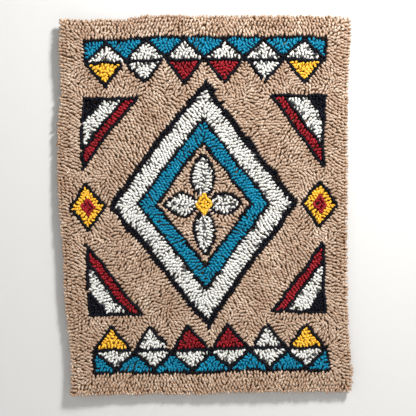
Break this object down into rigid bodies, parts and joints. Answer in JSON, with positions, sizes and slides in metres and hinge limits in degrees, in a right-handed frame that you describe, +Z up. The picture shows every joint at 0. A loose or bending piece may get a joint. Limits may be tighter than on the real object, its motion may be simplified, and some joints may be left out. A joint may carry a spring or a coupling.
{
  "type": "hooked wall hanging",
  "caption": "Upright rectangular wall hanging of short uncut yarn loops worked through a hemmed cloth, with nested diamonds, a four-petal flower, banded ends and corner triangles on a tan ground.",
  "frame": {"origin": "middle of the top edge, on the plane that the back hangs against", "axes": "+Z up the panel, +X to the right as one looks at the pile, -Y out of the pile"},
  "size_m": [0.4716, 0.0181, 0.6091],
  "materials": {
    "ground_yarn": "heathered tan yarn loops",
    "dark_yarn": "near-black navy yarn loops",
    "teal_yarn": "teal yarn loops",
    "gold_yarn": "golden yellow yarn loops",
    "red_yarn": "dark red yarn loops",
    "white_yarn": "off-white yarn loops",
    "grey_yarn": "grey and white marled yarn loops",
    "foundation_cloth": "plain-weave jute"
  },
  "bodies": {
    "root": {"hanging": "ground_yarn"}
  },
  "joints": []
}
